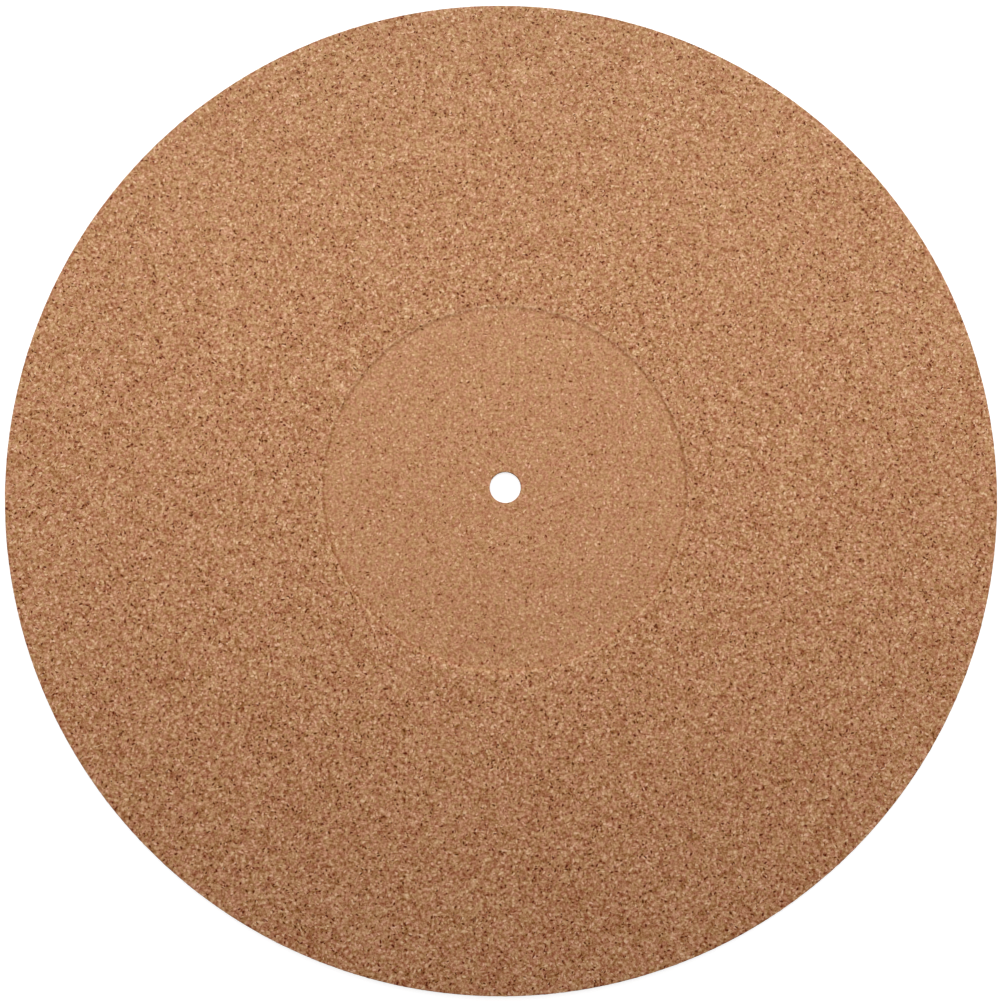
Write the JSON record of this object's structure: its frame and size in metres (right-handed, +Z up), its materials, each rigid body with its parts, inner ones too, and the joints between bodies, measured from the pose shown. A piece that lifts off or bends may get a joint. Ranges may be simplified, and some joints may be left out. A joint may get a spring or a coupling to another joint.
{
  "type": "turntable platter mat",
  "caption": "Thin round mat of pressed cork for a record player's platter, with a spindle hole and a shallow round recess for the record's label.",
  "frame": {"origin": "centre of the flat underside, on the spindle's axis", "axes": "+Z up through the spindle hole, out of the face that carries the record; the mat is round, so +X and +Y are any two directions across it"},
  "size_m": [0.3, 0.3, 0.003],
  "materials": {
    "cork": "matt pressed cork granules, sanded flat, with open pores"
  },
  "bodies": {
    "root": {"platter_mat": "cork"}
  },
  "joints": []
}
